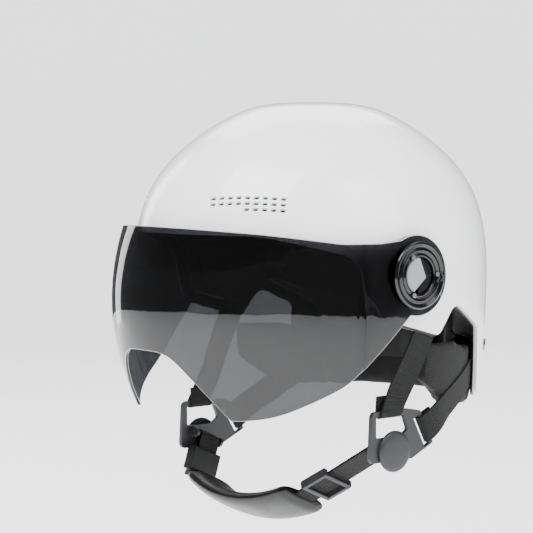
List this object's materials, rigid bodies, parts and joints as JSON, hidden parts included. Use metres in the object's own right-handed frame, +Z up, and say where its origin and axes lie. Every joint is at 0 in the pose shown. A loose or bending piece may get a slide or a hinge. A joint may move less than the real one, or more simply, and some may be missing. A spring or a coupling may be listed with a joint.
{
  "type": "half-shell riding helmet",
  "caption": "Half-shell riding helmet with a hinged smoke visor, brow vents, padded lining, webbing straps and a quick-release chin strap.",
  "frame": {"origin": "middle of the head cavity at the widest section of the shell", "axes": "+Z up, wearer looks along -Y, +X is the wearer's left"},
  "size_m": [0.2512, 0.298, 0.3099],
  "materials": {
    "shell_white": "clear-coated white ABS",
    "trim_black": "soft black edge trim",
    "foam_black": "bead-moulded black foam",
    "cushion": "black knitted lining over foam",
    "cradle_black": "fine-grained nylon",
    "dial_grey": "ribbed soft-touch dial",
    "visor_smoke": "smoke polycarbonate",
    "pivot_black": "gloss black acetal",
    "cap_grey": "light grey ABS",
    "steel": "zinc-plated steel",
    "webbing": "ribbed black polypropylene webbing",
    "hardware_grey": "fine-grained grey acetal",
    "pad_black": "soft black synthetic leather sleeve"
  },
  "bodies": {
    "helmet": {"brow_pad": "cushion", "buckle_housing": "hardware_grey", "buckle_pin": "steel", "crown_pad": "cushion", "edge_trim": "trim_black", "fit_dial_cap": "dial_grey", "foam_liner": "foam_black", "left_divider": "hardware_grey", "left_divider_button": "hardware_grey", "left_ear_pad": "cushion", "left_front_anchor": "steel", "left_front_strap": "webbing", "left_hanger_pin": "steel", "left_inner_plate": "steel", "left_pivot_base": "pivot_black", "left_pivot_cap": "cap_grey", "left_pivot_ring": "pivot_black", "left_rear_anchor": "steel", "left_rear_strap": "webbing", "left_temple_pad": "cushion", "nape_cradle": "cradle_black", "nape_pad": "cushion", "outer_shell": "shell_white", "pivot_screws": "steel", "rear_pad": "cushion", "right_divider": "hardware_grey", "right_divider_button": "hardware_grey", "right_ear_pad": "cushion", "right_front_anchor": "steel", "right_front_strap": "webbing", "right_hanger_pin": "steel", "right_inner_plate": "steel", "right_pivot_base": "pivot_black", "right_pivot_cap": "cap_grey", "right_pivot_ring": "pivot_black", "right_rear_anchor": "steel", "right_rear_strap": "webbing", "right_temple_pad": "cushion", "right_web": "webbing", "ring_screws": "steel", "strap_rivets": "steel", "strap_screws": "steel"},
    "visor": {"visor": "visor_smoke"},
    "left_latch": {"left_visor_latch": "pivot_black"},
    "right_latch": {"right_visor_latch": "pivot_black"},
    "chin_strap": {"chin_web": "webbing", "chin_pad": "pad_black", "buckle_tongue": "hardware_grey"},
    "strap_adjuster": {"strap_adjuster": "hardware_grey"},
    "buckle_lever": {"buckle_lever": "hardware_grey"},
    "fit_dial": {"fit_dial": "dial_grey"}
  },
  "joints": [
    {"name": "visor_pivot", "type": "hinge", "parent": "helmet", "child": "visor", "pos_m": [0, -0.01, 0.003], "axis": [-1, 0, 0], "range_deg": [0, 55]},
    {"name": "left_latch_slide", "type": "slide", "parent": "helmet", "child": "left_latch", "axis": [0, -1, 0], "range_m": [0, 0.0025], "stiffness_N_per_m": 300, "springref_m": -0.001},
    {"name": "right_latch_slide", "type": "slide", "parent": "helmet", "child": "right_latch", "axis": [0, -1, 0], "range_m": [0, 0.0025], "stiffness_N_per_m": 300, "springref_m": -0.001},
    {"name": "fit_dial_turn", "type": "hinge", "parent": "helmet", "child": "fit_dial", "pos_m": [0, 0.1, -0.062], "axis": [0, 1, 0], "range_deg": [-180, 180]},
    {"name": "chin_strap_swing", "type": "hinge", "parent": "helmet", "child": "chin_strap", "pos_m": [0.0965, -0.017, -0.12], "axis": [0, -0.9063, 0.4226], "range_deg": [0, 60]},
    {"name": "buckle_lever_lift", "type": "hinge", "parent": "helmet", "child": "buckle_lever", "pos_m": [-0.09708, -0.03013, -0.14816], "axis": [0, 0.9063, -0.4226], "range_deg": [0, 50], "stiffness_Nm_per_rad": 0.02, "springref_deg": -17.19},
    {"name": "adjuster_slide", "type": "slide", "parent": "chin_strap", "child": "strap_adjuster", "axis": [-0.8261, -0.2382, -0.5107], "range_m": [-0.02, 0.002]}
  ]
}
